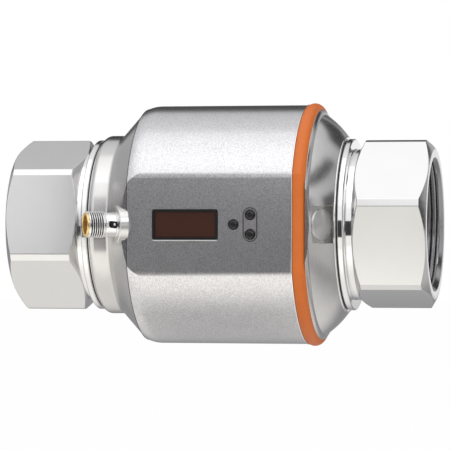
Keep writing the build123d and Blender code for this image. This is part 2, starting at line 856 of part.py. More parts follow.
nodes = {
    "measuring_tube": measuring_tube(),
    "tube_liner": tube_liner(),
    "left_adapter": mirror(adapter(left_hex_turn), Plane.YZ),
    "right_adapter": adapter(right_hex_turn),
    "left_face_seal": left_seal,
    "right_face_seal": right_seal,
    "left_collar_gasket": left_gasket,
    "right_collar_gasket": right_gasket,
    "left_end_cap": left_end_cap(),
    "drum_shell": drum_shell(),
    "seal_ring": seal_ring(),
    "right_end_cap": right_end_cap(),
    "cap_plug": cap_plug(),
    "left_cap_o_ring": left_o_ring,
    "right_cap_o_ring": right_o_ring,
    "display_bezel": display_bezel(),
    "display_window": display_window(),
    "display_module": display_module(),
    "single_key": key(single_key),
    "upper_key": key(upper_key),
    "lower_key": key(lower_key),
    "key_surround": key_surround(),
    "key_switches": key_switches(),
    "display_board": board(display_board_height, display_board_depth),
    "main_board": board(main_board_height, main_board_depth),
    "board_standoffs": board_standoffs(),
    "board_spacers": board_spacers(),
    "board_screws": board_screws(),
    "board_link": board_link(),
    "connector_shell": connector_shell(),
    "connector_insert": connector_insert(),
    "connector_pins": connector_pins(),
    "connector_key_pin": connector_key_pin(),
    "connector_o_ring": connector_o_ring(),
    "front_electrode": front_electrode,
    "back_electrode": back_electrode,
    "electrode_bushes": group(front_and_back(bush())),
    "electrode_nuts": group(front_and_back(electrode_nut())),
    "upper_pole_shoe": upper_shoe,
    "lower_pole_shoe": lower_shoe,
    "upper_coil_bobbin": upper_bobbin,
    "lower_coil_bobbin": lower_bobbin,
    "upper_coil_winding": upper_winding,
    "lower_coil_winding": lower_winding,
    "return_yoke": return_yoke(),
    "yoke_screws": group(above_and_below(yoke_screw())),
}

# Move the middle of the flow path to its place right of the origin and write each node
os.makedirs("parts", exist_ok=True)
for name, solid in nodes.items():
    export_step(Pos(pipe_thread_start, 0, 0) * solid, f"parts/{name}.step")
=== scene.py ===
# %% [markdown]
# # A magnetic flow meter for a 2-inch pipe, dressed for its picture
#
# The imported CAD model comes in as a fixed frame. This lesson gives every piece its finish, and builds anew
# the pieces whose charm is in small shapes: the hexagon adapters with their pipe threads, the plug socket,
# the keys and the plug of the blind port. Run the cells from top to bottom.
#
# "Left" is the inlet and "right" the outlet, as somebody sees them who reads the display.

# %% Load the frame
from math import acos, atan2, cos, degrees, hypot, pi, radians, sin, tan

import bmesh
import bpy
from mathutils import Matrix, Vector


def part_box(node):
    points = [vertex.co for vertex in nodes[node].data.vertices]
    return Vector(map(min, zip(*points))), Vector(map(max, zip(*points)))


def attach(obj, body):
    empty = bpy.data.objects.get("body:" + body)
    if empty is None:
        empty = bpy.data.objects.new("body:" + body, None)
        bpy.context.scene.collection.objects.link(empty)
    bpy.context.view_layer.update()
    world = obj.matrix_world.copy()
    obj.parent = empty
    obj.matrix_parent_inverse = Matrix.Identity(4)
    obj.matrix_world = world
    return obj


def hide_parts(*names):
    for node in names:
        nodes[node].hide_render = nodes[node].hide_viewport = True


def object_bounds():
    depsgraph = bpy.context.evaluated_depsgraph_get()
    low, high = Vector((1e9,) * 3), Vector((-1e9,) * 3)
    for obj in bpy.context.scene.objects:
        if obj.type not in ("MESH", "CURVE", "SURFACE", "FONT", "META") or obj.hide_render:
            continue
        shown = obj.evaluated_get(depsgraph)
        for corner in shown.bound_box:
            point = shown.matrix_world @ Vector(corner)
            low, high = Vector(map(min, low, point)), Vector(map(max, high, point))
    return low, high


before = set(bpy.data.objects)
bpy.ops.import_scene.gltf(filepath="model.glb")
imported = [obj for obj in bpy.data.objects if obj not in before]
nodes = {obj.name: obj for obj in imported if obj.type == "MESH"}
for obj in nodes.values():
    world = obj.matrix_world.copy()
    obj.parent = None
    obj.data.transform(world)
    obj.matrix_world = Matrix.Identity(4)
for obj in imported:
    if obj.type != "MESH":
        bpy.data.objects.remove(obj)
cad_low, cad_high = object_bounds()
print("nodes", len(nodes), "size in mm", [round(1000 * (h - l), 1) for l, h in zip(cad_low, cad_high)])

# %% [markdown]
# Lengths below are in millimetres from the middle of the flow path, which is how the drawing of the meter
# has them. Blender wants metres from the frame's origin, so one small function does the change.

# %% Units
MM = 0.001
MIDDLE_X = (cad_low.x + cad_high.x) / 2
FLAT = 50.3  # from the axis to the flat that carries the display


def at(x, y, z):
    """A point in millimetres from the middle of the flow path, as a place in the scene."""
    return Vector((MIDDLE_X + x * MM, y * MM, z * MM))


print("middle of the flow path at x =", round(MIDDLE_X, 6))

# %% [markdown]
# ## Camera
#
# A product shot like this is taken from far away with a long lens, so that the pipe ends stay parallel.
# The camera stands at the height of the pipe's axis and a little to the right, which opens the right mouth.

# %% Camera
CAMERA_TURN = radians(11.3)
CAMERA_PLACE = Vector((0.35583, -1.314, 0.0))
CAMERA_LENS = 231.2  # on a sensor 36 mm wide
camera_data = bpy.data.cameras.new("camera")
camera_data.lens = CAMERA_LENS
camera_data.sensor_width = 36.0
camera_data.shift_y = -0.0009
camera_data.clip_start = 0.05
camera = bpy.data.objects.new("camera", camera_data)
camera.location = CAMERA_PLACE
camera.rotation_euler = (pi / 2, 0, CAMERA_TURN)
bpy.context.scene.collection.objects.link(camera)
bpy.context.scene.camera = camera
bpy.context.scene.view_settings.view_transform = "Standard"
print("camera", [round(v, 3) for v in camera.location])

# %% [markdown]
# ## Light
#
# Polished steel shows its surroundings, so the surroundings are the light. Two things were possible: a
# studio full of real lamps and screens, or a world that is painted by direction. The second is used, because
# each reflection can then be set on its own. The cloth of the tent is brightest in front and above, and the
# camera itself sees plain white.
#
# First comes a small helper that keeps node trees short. All the finishes use it too.

# %% Node helper


class Web:
    """A node tree with short calls for what the finishes need."""

    def __init__(self, tree):
        self.tree = tree

    def add(self, kind, **values):
        node = self.tree.nodes.new(kind)
        for name, value in values.items():
            socket = name.replace("_", " ").title()
            if socket in node.inputs:
                self.put(node.inputs[socket], value)
            else:
                setattr(node, name, value)
        return node

    def put(self, socket, value):
        if isinstance(value, bpy.types.NodeSocket):
            self.tree.links.new(value, socket)
        else:
            socket.default_value = value

    def math(self, operation, first, second=0.0):
        node = self.add("ShaderNodeMath", operation=operation)
        self.put(node.inputs[0], first)
        self.put(node.inputs[1], second)
        return node.outputs[0]

    def between(self, value, low, high, to_low=0.0, to_high=1.0, smooth=True):
        node = self.add("ShaderNodeMapRange", interpolation_type="SMOOTHSTEP" if smooth else "LINEAR")
        for socket, content in zip(node.inputs[:5], (value, low, high, to_low, to_high)):
            self.put(socket, content)
        return node.outputs[0]

    def blend(self, share, first, second):
        node = self.add("ShaderNodeMix", data_type="RGBA")
        for name, content in (("Factor", share), ("A", first), ("B", second)):
            sockets = [s for s in node.inputs if s.name == name and s.enabled]
            self.put(sockets[0], content)
        return [s for s in node.outputs if s.enabled][0]

    def within(self, value, low, high, soft):
        """One inside low to high and nothing outside, with soft edges."""
        inner = self.between(value, low - soft, low + soft)
        return self.math("MULTIPLY", inner, self.between(value, high - soft, high + soft, 1.0, 0.0))


# %% [markdown]
# The tent's cloth, and on it a few dark flags. A photographer hangs black paper where a polished face would
# otherwise show white only, and each flag here is such a paper, given by the directions that it covers. A
# direction is a vector of length one: depth is its part away from the camera, side its part to the right and
# height its part upwards.

# %% World
BACKDROP = 0.10  # half the height of the white backdrop behind the meter
FLAG_DEPTH = 0.9  # how much of the light a flag takes away
world = bpy.data.worlds.new("tent")
bpy.context.scene.world = world
world.use_nodes = True
world.node_tree.nodes.clear()
web = Web(world.node_tree)
direction = web.add("ShaderNodeTexCoord").outputs["Generated"]
parts = web.add("ShaderNodeSeparateXYZ")
web.put(parts.inputs[0], direction)
height = parts.outputs["Z"]
side = parts.outputs["X"]
depth = parts.outputs["Y"]
in_front = web.between(depth, -0.3, -0.4)
behind = web.between(depth, 0.5, 0.6)
cloth = web.between(depth, -0.5, 0.7, 1.46, 0.76, smooth=False)
cloth = web.math("MULTIPLY", cloth, web.between(height, 0.2, 0.75, 0.74, 1.0))
cloth = web.math("MULTIPLY", cloth, web.between(web.math("ABSOLUTE", side), 0.3, 0.9, 1.0, 0.75))
flags = [
    # behind the meter and a little to the left, at every height
    (web.within(depth, 0.76, 0.99, 0.05), web.within(side, -0.5, 0.1, 0.05)),
    # far left, from the floor up to just above eye level
    (web.within(height, -0.5, 0.20, 0.05), web.within(side, -1.1, -0.85, 0.06)),
    # in front and to the right, above eye level
    (web.within(height, 0.14, 0.34, 0.03), web.math("MULTIPLY", web.within(side, 0.45, 0.9, 0.05), in_front)),
    # far right and high
    (web.within(height, 0.47, 0.62, 0.03), web.within(side, 0.74, 1.1, 0.04)),
    # behind, to the right and high
    (web.within(height, 0.28, 0.60, 0.04), web.math("MULTIPLY", web.within(side, 0.15, 0.55, 0.05), behind)),
]
for first, second in flags:
    shade = web.math("MULTIPLY", web.math("MULTIPLY", first, second), FLAG_DEPTH)
    cloth = web.math("MULTIPLY", cloth, web.math("SUBTRACT", 1.0, shade))
tinted = web.add("ShaderNodeCombineColor")
web.put(tinted.inputs[0], cloth)
web.put(tinted.inputs[1], cloth)
web.put(tinted.inputs[2], web.math("MULTIPLY", cloth, 1.015))
back = web.between(depth, 0.90, 0.97)
level = web.between(web.math("ABSOLUTE", height), BACKDROP, BACKDROP + 0.04, 1.0, 0.0)
backdrop = web.math("MULTIPLY", back, level)
tent = web.blend(backdrop, tinted.outputs[0], (1.0, 1.0, 1.0, 1))
rays = web.add("ShaderNodeLightPath")
seen = web.blend(rays.outputs["Is Camera Ray"], tent, (1, 1, 1, 1))
background = web.add("ShaderNodeBackground")
web.put(background.inputs["Color"], seen)
web.put(background.inputs["Strength"], 1.0)
output = web.add("ShaderNodeOutputWorld")
web.put(output.inputs["Surface"], background.outputs[0])
print("world nodes", len(world.node_tree.nodes), "flags", len(flags))

# %% [markdown]
# A pale floor under the meter throws warm light back at the underside. The picture shows the meter free of
# any table, as it hangs in its pipe, so the floor lies 60 mm lower and its shadow stays out of view.

# %% Floor
FLOOR_DROP = 0.06
FLOOR_REACH = 3.0
floor_mesh = bpy.data.meshes.new("floor")
floor_height = cad_low.z - FLOOR_DROP
floor_corners = [(x * FLOOR_REACH, y * FLOOR_REACH, floor_height) for x, y in ((-1, -1), (1, -1), (1, 1), (-1, 1))]
floor_mesh.from_pydata(floor_corners, [], [(0, 1, 2, 3)])
floor = bpy.data.objects.new("floor", floor_mesh)
bpy.context.scene.collection.objects.link(floor)
print("floor at z =", round(floor_height, 4))

# %% [markdown]
# The lower half of every round piece shows the floor, so the paper glows with painted light that only reflections
# see. It is bright and warm in front, dim behind the meter and to its right, and greyer under a painted shadow
# of the drum. A painted dark patch in front of the left neck paints the dark band below the socket. For other
# light the paper is plain, and the camera sees nearly pure white.

# %% Floor paper and its painted reflections
# Colours of the painted bounce light, painted shadow and painted shade that reflections see in the floor
WARM_WHITE = (1.42, 1.40, 1.34, 1)
NEAR_WHITE = (1.05, 1.035, 1.0, 1)
FRONT_WHITE = (1.12, 1.11, 1.06, 1)
DIM_GREY = (0.34, 0.34, 0.355, 1)
FAR_RIGHT_GREY = (0.66, 0.655, 0.64, 1)
DRUM_SHADOW = (0.42, 0.42, 0.43, 1)
NECK_PAINTED_SHADE = (0.07, 0.07, 0.072, 1)
NECK_SLANT = 0.256  # the painted patch's left edge runs slantwise, along the camera's view of the neck
floor_finish = bpy.data.materials.new("floor_paper")
floor_finish.use_nodes = True
web = Web(floor_finish.node_tree)
floor_finish.node_tree.nodes.clear()
paper = web.add("ShaderNodeBsdfDiffuse", color=(0.86, 0.855, 0.84, 1))
place = web.add("ShaderNodeSeparateXYZ")
web.put(place.inputs[0], web.add("ShaderNodeTexCoord").outputs["Object"])
along_floor = place.outputs["X"]
across_floor = place.outputs["Y"]
far_side = web.between(across_floor, 0.0, 0.18)
right_side = web.between(along_floor, MIDDLE_X + 0.06, MIDDLE_X + 0.22)
dim = web.math("MAXIMUM", far_side, web.math("MULTIPLY", right_side, 0.85))
rays = web.add("ShaderNodeLightPath")
near = web.between(across_floor, -0.12, -0.03)
bounce = web.blend(near, WARM_WHITE, NEAR_WHITE)
bounce = web.blend(web.between(across_floor, -0.16, -0.22), bounce, FRONT_WHITE)
bounce = web.blend(dim, bounce, DIM_GREY)
bounce = web.blend(web.between(along_floor, MIDDLE_X + 0.22, MIDDLE_X + 0.30), bounce, FAR_RIGHT_GREY)
# Painted shadow of the drum, seen only in reflections
from_drum = web.math("ABSOLUTE", web.math("SUBTRACT", along_floor, MIDDLE_X - 0.012))
shadow = web.between(from_drum, 0.030, 0.062, 1.0, 0.0)
shadow = web.math("MULTIPLY", shadow, web.between(across_floor, -0.09, -0.02))
bounce = web.blend(web.math("MULTIPLY", shadow, 0.6), bounce, DRUM_SHADOW)
# Painted shade: a dark patch in the floor's reflections that paints the left neck's dark band
slanted = web.math("SUBTRACT", along_floor, web.math("MULTIPLY", across_floor, NECK_SLANT))
neck_painted_shade = web.between(slanted, MIDDLE_X - 0.051, MIDDLE_X - 0.046)
neck_painted_shade = web.math("MULTIPLY", neck_painted_shade, web.between(across_floor, -0.18, -0.20))
neck_painted_shade = web.math("MULTIPLY", neck_painted_shade, web.between(along_floor, MIDDLE_X - 0.06, MIDDLE_X - 0.04, 1.0, 0.0))
bounce = web.blend(neck_painted_shade, bounce, NECK_PAINTED_SHADE)
glow = web.add("ShaderNodeEmission")
web.put(glow.inputs["Color"], web.blend(rays.outputs["Is Camera Ray"], bounce, (1, 1, 1, 1)))
veil = web.math("MULTIPLY", rays.outputs["Is Camera Ray"], 0.95)
veil = web.math("MAXIMUM", veil, rays.outputs["Is Glossy Ray"])
mixed = web.add("ShaderNodeMixShader")
web.put(mixed.inputs[0], veil)
web.put(mixed.inputs[1], paper.outputs[0])
web.put(mixed.inputs[2], glow.outputs[0])
web.put(web.add("ShaderNodeOutputMaterial").inputs["Surface"], mixed.outputs[0])
floor_mesh.materials.append(floor_finish)
print("floor nodes", len(floor_finish.node_tree.nodes))

# %% [markdown]
# Two soft boxes finish the light: a broad one overhead and a smaller one in front on the right. Both are
# weak, because the tent does most of the work, and stronger ones would wash out the pale faces.

# %% Soft boxes


def soft_box(name, place, target, width, depth, power):
    """A rectangular lamp at place that points at target."""
    lamp = bpy.data.lights.new(name, "AREA")
    lamp.shape = "RECTANGLE"
    lamp.size = width
    lamp.size_y = depth
    lamp.energy = power
    holder = bpy.data.objects.new(name, lamp)
    holder.location = place
    holder.rotation_mode = "QUATERNION"
    holder.rotation_quaternion = (Vector(target) - Vector(place)).to_track_quat("-Z", "Y")
    bpy.context.scene.collection.objects.link(holder)


centre = at(0, 0, 0)
soft_box("box_overhead", (centre.x, -0.25, 1.1), centre, 1.4, 0.9, 1.2)
soft_box("box_front_right", (centre.x + 0.75, -0.9, 0.55), centre, 0.5, 0.6, 1.2)

# %% [markdown]
# Some reflections need a card with a clean edge at a known place, which a painted direction can't give. The
# flat with the display looks back past the camera, into the dark of the room, and turns grey; so do the left
# neck and a patch on the right collar. The last card stands close to the outlet and darkens the mouth.
# The cards are seen by reflections only. Each is given by two opposite corners in millimetres.

# %% Cards


def card(name, low, high, shade):
    """A flat card that only reflections can see, upright and facing the meter."""
    mesh = bpy.data.meshes.new(name)
    footing = ((low[0], low[1]), (high[0], high[1]))
    corners = [(*footing[0], low[2]), (*footing[1], low[2]), (*footing[1], high[2]), (*footing[0], high[2])]
    mesh.from_pydata([at(*corner) for corner in corners], [], [(0, 1, 2, 3)])
    made = bpy.data.objects.new(name, mesh)
    bpy.context.scene.collection.objects.link(made)
    made.visible_camera = False
    made.visible_diffuse = False
    made.visible_shadow = False
    made.visible_transmission = False
    paint = bpy.data.materials.new(name)
    paint.use_nodes = True
    web = Web(paint.node_tree)
    paint.node_tree.nodes.clear()
    flat = web.add("ShaderNodeEmission")
    web.put(flat.inputs["Color"], (shade, shade, shade * 1.05, 1))
    web.put(web.add("ShaderNodeOutputMaterial").inputs["Surface"], flat.outputs[0])
    mesh.materials.append(paint)


card("camera_flag", (-147, -400, -270), (-80, -400, 270), 0.09)
card("right_camera_flag", (-80, -400, -270), (-30, -400, 270), 0.42)
card("neck_flag", (-240, -400, -150), (-152.5, -400, 50), 0.06)
card("low_flag", (-30, -400, -138), (110, -400, 33), 0.05)
card("mouth_flag", (200, -60, -12), (200, 14, 60), 0.08)

# %% [markdown]
# ## Finishes
#
# Every finish is made from noise in the object's own coordinates. Turned steel has fine rings round the pipe:
# noise that changes fast along the pipe and slowly across it. A bevel in the shading gives hard CAD edges
# the thin bright line that a real deburred edge has.

# %% Finish helper


def finish(
    name,
    colour,
    roughness,
    metallic=0.0,
    grain=None,
    grain_depth=0.0,
    mottle=0.0,
    mottle_size=9.0,
    patchiness=0.0,
    edge=0.0,
    speckle=0.0,
    stretch=0.0,
    turned_about="X",
    **shader,
):
    """A material with grain in its roughness and bump, and soft patches in its colour.

    grain is how many marks there are to a metre along x, y and z. stretch smears the gloss across marks that
    run round the turned_about axis.
    """
    material = bpy.data.materials.new(name)
    material.use_nodes = True
    web = Web(material.node_tree)
    body = material.node_tree.nodes["Principled BSDF"]
    place = web.add("ShaderNodeTexCoord").outputs["Object"]
    body.inputs["Metallic"].default_value = metallic
    for key, value in shader.items():
        body.inputs[key.replace("_", " ").title().replace("Ior", "IOR")].default_value = value
    patches = web.add("ShaderNodeTexNoise", scale=1000.0 / mottle_size, detail=4.0, roughness=0.6)
    web.put(patches.inputs["Vector"], place)
    darker = tuple(c * (1 - mottle) for c in colour) + (1.0,)
    tone = web.blend(patches.outputs["Fac"], darker, tuple(colour) + (1.0,))
    stretched = web.add("ShaderNodeMapping")
    web.put(stretched.inputs["Vector"], place)
    stretched.inputs["Scale"].default_value = grain or (1500.0, 1500.0, 1500.0)
    marks = web.add("ShaderNodeTexNoise", scale=1.0, detail=3.0, roughness=0.65)
    web.put(marks.inputs["Vector"], stretched.outputs[0])
    if speckle:
        shade = web.between(marks.outputs["Fac"], 0.3, 0.7, 1.0 - speckle, 1.0 + speckle, smooth=False)
        scaled = web.add("ShaderNodeVectorMath", operation="SCALE")
        web.put(scaled.inputs[0], tone)
        web.put(scaled.inputs["Scale"], shade)
        tone = scaled.outputs[0]
    web.put(body.inputs["Base Color"], tone)
    rough = web.between(marks.outputs["Fac"], 0.25, 0.75, roughness * (1 - patchiness), roughness * (1 + patchiness))
    web.put(body.inputs["Roughness"], rough)
    bump = web.add("ShaderNodeBump")
    bump.inputs["Strength"].default_value = 1.0
    bump.inputs["Distance"].default_value = grain_depth * MM
    web.put(bump.inputs["Height"], marks.outputs["Fac"])
    if edge:
        softened = web.add("ShaderNodeBevel", samples=4)
        softened.inputs["Radius"].default_value = edge * MM
        web.put(bump.inputs["Normal"], softened.outputs[0])
    web.put(body.inputs["Normal"], bump.outputs[0])
    if stretch:
        body.inputs["Anisotropic"].default_value = stretch
        body.inputs["Anisotropic Rotation"].default_value = 0.25
        round_axis = web.add("ShaderNodeTangent", direction_type="RADIAL", axis=turned_about)
        web.put(body.inputs["Tangent"], round_axis.outputs[0])
    return material


# %% [markdown]
# The housing is sheet steel, blasted and brushed round the pipe. The adapters are machined from bar: satin on
# the faces and polished on the turned parts. The caps lie between the two. The grain of each is given by the
# number of marks to a metre along, across and up.

# %% Steels
RINGS = (7000.0, 900.0, 900.0)
BLASTED = (3800.0, 2300.0, 2300.0)
ALONG = (300.0, 3000.0, 3000.0)
EVEN = (900.0, 900.0, 900.0)
WIRE_TURNS = (200.0, 200.0, 3400.0)
finishes = {
    "brushed_stainless": finish(
        "brushed_stainless", (0.655, 0.647, 0.655), 0.29, 1.0, BLASTED, 0.0014, 0.12, 7.0, 0.06, 0.35, 0.42, 0.75
    ),
    "cap_stainless": finish(
        "cap_stainless", (0.65, 0.64, 0.63), 0.2, 1.0, RINGS, 0.0010, 0.12, 9.0, 0.25, 0.3, 0.07, 0.4
    ),
    "turned_stainless": finish(
        "turned_stainless", (0.68, 0.675, 0.67), 0.2, 1.0, RINGS, 0.0005, 0.06, 16.0, 0.25, 0.0, 0.02
    ),
    "polished_stainless": finish(
        "polished_stainless", (0.80, 0.795, 0.79), 0.07, 1.0, RINGS, 0.0004, 0.05, 10.0, 0.3, 0.0, 0.02
    ),
    # Darker steel for the thread and bore inside the adapters, as painted shade
    "thread_stainless": finish(
        "thread_stainless", (0.46, 0.46, 0.465), 0.16, 1.0, EVEN, 0.001, 0.15, 6.0, 0.3
    ),
    "tube_stainless": finish(
        "tube_stainless", (0.66, 0.655, 0.65), 0.3, 1.0, ALONG, 0.0012, 0.10, 12.0, 0.3, 0.15, 0.04
    ),
}
print("steels", len(finishes))

# %% [markdown]
# Rubber, plastic and the rest: none of them is one flat colour. Moulded plastic has a fine spark-eroded
# texture, rubber a dull bloom, and the copper winding shows its turns of wire.

# %% Other finishes
finishes.update(
    black_rubber=finish("black_rubber", (0.02, 0.02, 0.021), 0.6, grain_depth=0.01, mottle=0.3),
    orange_seal=finish(
        "orange_seal", (0.67, 0.148, 0.011), 0.5, grain_depth=0.008, mottle=0.12, mottle_size=5.0, speckle=0.03
    ),
    liner_plastic=finish("liner_plastic", (0.72, 0.70, 0.66), 0.38, grain_depth=0.004, mottle=0.08),
    black_plastic=finish(
        "black_plastic", (0.008, 0.008, 0.009), 0.45, grain_depth=0.006, mottle=0.2, patchiness=0.2,
        specular_ior_level=0.3,
    ),
    key_plastic=finish(
        "key_plastic", (0.006, 0.006, 0.008), 0.08, grain_depth=0.003, mottle=0.2, specular_ior_level=0.42
    ),
    surround_plastic=finish("surround_plastic", (0.055, 0.034, 0.026), 0.5, grain_depth=0.004, mottle=0.25),
    red_filter=finish(
        "red_filter", (0.050, 0.015, 0.008), 0.4, grain_depth=0.0008, mottle=0.12, mottle_size=12.0, speckle=0.08,
        specular_ior_level=0.25,
    ),
    board_laminate=finish("board_laminate", (0.03, 0.16, 0.06), 0.4, grain_depth=0.01, mottle=0.35, mottle_size=3.0),
    gold_metal=finish("gold_metal", (0.86, 0.60, 0.24), 0.2, 1.0, grain_depth=0.002, mottle=0.15, patchiness=0.3),
    insulator=finish("insulator", (0.80, 0.79, 0.74), 0.35, grain_depth=0.004, mottle=0.08),
    soft_iron=finish("soft_iron", (0.30, 0.295, 0.29), 0.45, 1.0, grain_depth=0.01, mottle=0.25, patchiness=0.2),
    copper_winding=finish(
        "copper_winding", (0.62, 0.22, 0.09), 0.3, 1.0, WIRE_TURNS, 0.05, 0.2, patchiness=0.3
    ),
)
print("finishes", len(finishes))

# %% [markdown]
# A few finishes belong to one place each. The wall inside the gold mouth gets painted shade: a darker and
# duller gold than the lip, since less light finds its way in. The faced wall is so matt that it is treated as a
# pale non-metal. The plug's face has its gloss smeared across the lathe's circles, which makes the bright fans.

# %% Special finishes
finishes.update(
    gold_wall=finish("gold_wall", (0.66, 0.36, 0.10), 0.5, 0.55, grain_depth=0.01, mottle=0.3, mottle_size=1.0),
    faced_wall=finish("faced_wall", (0.93, 0.92, 0.90), 0.6, 0.0, RINGS, 0.002, 0.1, 5.0),
    insulator_dark=finish("insulator_dark", (0.05, 0.035, 0.02), 0.5, grain_depth=0.004, mottle=0.2),
    # Dark for the weld line, and painted shade in the roots of the socket's thread
    weld_dark=finish("weld_dark", (0.10, 0.10, 0.11), 0.4, 1.0, grain_depth=0.004, mottle=0.3),
    record_stainless=finish(
        "record_stainless", (0.74, 0.735, 0.73), 0.36, 1.0, EVEN, 0.0004, 0.06, stretch=0.85, turned_about="Z",
    ),
)
print("finishes", len(finishes))

# %% [markdown]
# Most CAD pieces have the right shape already and only change their finish. The record names a slot for each
# piece, and the finish of that name goes on it. The two caps are smoother than the drum and get their own.

# %% Dress the CAD pieces
CAP_NODES = ("left_end_cap", "right_end_cap")
for name, node in nodes.items():
    slot = node.material_slots[0].material.name.split(".")[0]
    if name in CAP_NODES:
        slot = "cap_stainless"
    node.material_slots[0].material = finishes[slot]
print("dressed", len(nodes), "CAD pieces")

# %% [markdown]
# ## Turned skins
#
# A lathe part is a profile swung round an axis. Here each row of a skin is one station of the profile with
# its own radius at every angle, so the same helper makes a round collar, a hexagon and a screw thread. For a
# thread the rows climb with the angle, so that every row runs along a crest or a root and none is ragged.

# %% Skin helper


THREAD_CUTS = 10  # rows to one turn of a thread


def flat_row(station, radius, angles):
    """One station of a profile, the same at every angle."""
    return [(station, radius)] * len(angles)


def lathe_rows(profile, angles):
    """All stations of a round profile."""
    return [flat_row(station, radius, angles) for station, radius in profile]


def thread_rows(start, end, radius, depth, pitch, hand, angles, run_out=1.0):
    """Rows that climb along a screw thread between two stations.

    Depth is positive outwards. Over run_out pitches at the far end the thread fades away.
    """
    cuts = THREAD_CUTS
    turns = int((end - start) / pitch) + 3
    rows = []
    for k in range(-cuts, (turns + 1) * cuts):
        wave = min(1.0, max(0.0, (0.5 - abs((k / cuts) % 1.0 - 0.5)) * 2.5 - 0.12))
        row = []
        for angle in angles:
            climb = (angle - angles[0]) / (2 * pi) * hand
            station = min(end, max(start, start + pitch * (k / cuts + climb - 1)))
            fade = min(1.0, (station - start) / pitch)
            if run_out:
                fade = min(fade, (end - station) / (run_out * pitch))
            row.append((station, radius + depth * wave * fade))
        rows.append(row)
    return rows


def skin(name, pieces, angles, place, material, smooth_angle=35.0):
    """A mesh from lists of rows; each entry of pieces is (rows, climb), with climb in rows for a thread."""
    mesh = bmesh.new()
    count = len(angles)
    for rows, climb in pieces:
        grid = [[mesh.verts.new(place(s, r, a)) for (s, r), a in zip(row, angles)] for row in rows]
        for i in range(len(grid) - 1):
            for j in range(count):
                n = (j + 1) % count
                lift = climb if n == 0 else 0
                if 0 <= i + lift and i + 1 + lift < len(grid):
                    mesh.faces.new((grid[i][j], grid[i][n] if not lift else grid[i + lift][n],
                                    grid[i + 1 + lift][n], grid[i + 1][j]))
    bmesh.ops.remove_doubles(mesh, verts=mesh.verts, dist=1e-7)
    bmesh.ops.dissolve_degenerate(mesh, edges=mesh.edges, dist=1e-7)
    bmesh.ops.recalc_face_normals(mesh, faces=mesh.faces)
    data = bpy.data.meshes.new(name)
    mesh.to_mesh(data)
    mesh.free()
    data.materials.append(material)
    for face in data.polygons:
        face.use_smooth = True
    data.set_sharp_from_angle(angle=radians(smooth_angle))
    made = bpy.data.objects.new(name, data)
    bpy.context.scene.collection.objects.link(made)
    weighted = made.modifiers.new("weighted_normals", "WEIGHTED_NORMAL")
    weighted.keep_sharp = True
    print(name, "faces", len(data.polygons))
    return made


def round_angles(count):
    return [2 * pi * j / count for j in range(count)]


def ride_on(piece, body, node=None):
    """Let the piece move with a body, and stand in for a CAD piece if one is given."""
    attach(piece, body)
    if node:
        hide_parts(node)


# %% [markdown]
# ## Adapters
#
# Each adapter starts as hexagon bar. The lathe takes its corners down, chamfers both ends and turns the neck
# and the collar, and the flats meet the chamfer cone in the curved lines that every nut has. The pipe thread
# inside is a 2-inch one with 11 turns to the inch.

# %% Adapter sizes
HALF_FLATS = 35.0
TURNED = 39.5  # radius of the corners after turning
FACE = 34.4  # radius of the end face, where the chamfer cone starts
CONE = tan(radians(30.0))
HALF_LENGTH = 97.0
HEX_INNER = 63.4
SOFT = 0.22  # rounding of the edges
LAND = degrees(acos(HALF_FLATS / TURNED))  # half the width of a flat, as an angle
BORE = 25.0
TUBE_BORE = 31.55  # the wider bore that takes the tube's end
ADAPTER_START = 57.4
TUBE_STOP = 66.528
MOUTH = 30.9
THREAD_RADIUS = 28.328
THREAD_START = 94.428
THREAD_END = 71.528
THREAD_PITCH = 25.4 / 11
THREAD_DEPTH = 1.479
soft_angle = degrees(SOFT / TURNED)
across = [-LAND, -LAND + soft_angle, -24.0, -20.0, -15.0, -10.0, -5.0]
across = across + [0.0] + [-v for v in reversed(across)]
across += [LAND + soft_angle, 30.0, 60.0 - LAND - soft_angle]
print("angles to one side of the hexagon", len(across))

# %% [markdown]
# The skin is three strips in a row: the outside from the tube's end to the mouth, the thread, and the bore
# back to the start. The collar is polished, the hexagon satin and the thread a steel darkened as painted shade.

# %% Adapters


def hexagon_radius(angle, turn):
    """How far the bar's surface lies from the axis at this angle."""
    off = (degrees(angle) - turn + 30.0) % 60.0 - 30.0
    return min(TURNED, HALF_FLATS / cos(radians(off)))


